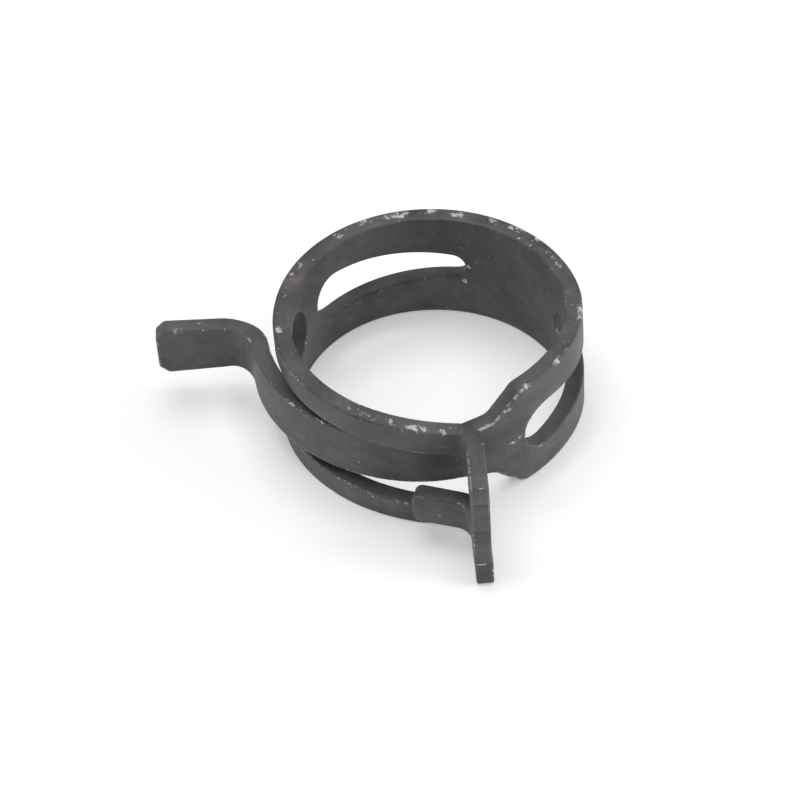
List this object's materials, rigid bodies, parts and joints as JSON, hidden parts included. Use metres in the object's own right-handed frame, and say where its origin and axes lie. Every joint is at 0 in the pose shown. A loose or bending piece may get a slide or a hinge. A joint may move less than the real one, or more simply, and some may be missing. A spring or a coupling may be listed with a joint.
{
  "type": "hose clamp",
  "caption": "Spring band hose clamp: a slotted ring of dark coated spring steel whose tongue passes through its fork, with an outward tab at each end for pliers.",
  "frame": {"origin": "middle of the bounding box's base: the clamp stands on its ring's lower rim", "axes": "+Z along the ring's axis, up; +X from the tongue tab towards the plain side of the ring; +Y from the fork tab towards the back"},
  "size_m": [0.0392, 0.0364, 0.012],
  "materials": {
    "coated_steel": "matt black phosphate"
  },
  "bodies": {
    "back": {"back_band": "coated_steel"},
    "left": {"left_band": "coated_steel"},
    "rails": {"upper_rail": "coated_steel", "lower_rail": "coated_steel"},
    "fork": {"fork_tab": "coated_steel"},
    "right": {"right_band": "coated_steel"},
    "tongue_middle": {"tongue": "coated_steel"},
    "tongue_end": {"tongue_tab": "coated_steel"}
  },
  "joints": [
    {"name": "left_bend", "type": "hinge", "parent": "back", "child": "left", "pos_m": [0.00263, 0.01717, 0.006], "axis": [0, 0, -1], "range_deg": [0, 11.5], "stiffness_Nm_per_rad": 0.01},
    {"name": "rail_bend", "type": "hinge", "parent": "left", "child": "rails", "pos_m": [-0.00726, 0.0083, 0.006], "axis": [0, 0, -1], "range_deg": [0, 11.5], "stiffness_Nm_per_rad": 0.01},
    {"name": "fork_bend", "type": "hinge", "parent": "rails", "child": "fork", "pos_m": [-0.00473, -0.00394, 0.006], "axis": [0, 0, -1], "range_deg": [0, 11.5], "stiffness_Nm_per_rad": 0.01},
    {"name": "right_bend", "type": "hinge", "parent": "back", "child": "right", "pos_m": [0.01838, 0.00182, 0.006], "axis": [0, 0, 1], "range_deg": [0, 11.5], "stiffness_Nm_per_rad": 0.01},
    {"name": "neck_bend", "type": "hinge", "parent": "right", "child": "tongue_middle", "pos_m": [0.00853, -0.00728, 0.006], "axis": [0, 0, 1], "range_deg": [0, 11.5], "stiffness_Nm_per_rad": 0.01},
    {"name": "tongue_bend", "type": "hinge", "parent": "tongue_middle", "child": "tongue_end", "pos_m": [-0.0038, -0.00464, 0.006], "axis": [0, 0, 1], "range_deg": [0, 11.5], "stiffness_Nm_per_rad": 0.01}
  ],
  "couplings": [
    {"joint": "rail_bend", "follows": "left_bend", "ratio": 1},
    {"joint": "fork_bend", "follows": "left_bend", "ratio": 1},
    {"joint": "right_bend", "follows": "left_bend", "ratio": 1},
    {"joint": "neck_bend", "follows": "left_bend", "ratio": 1},
    {"joint": "tongue_bend", "follows": "left_bend", "ratio": 1}
  ]
}
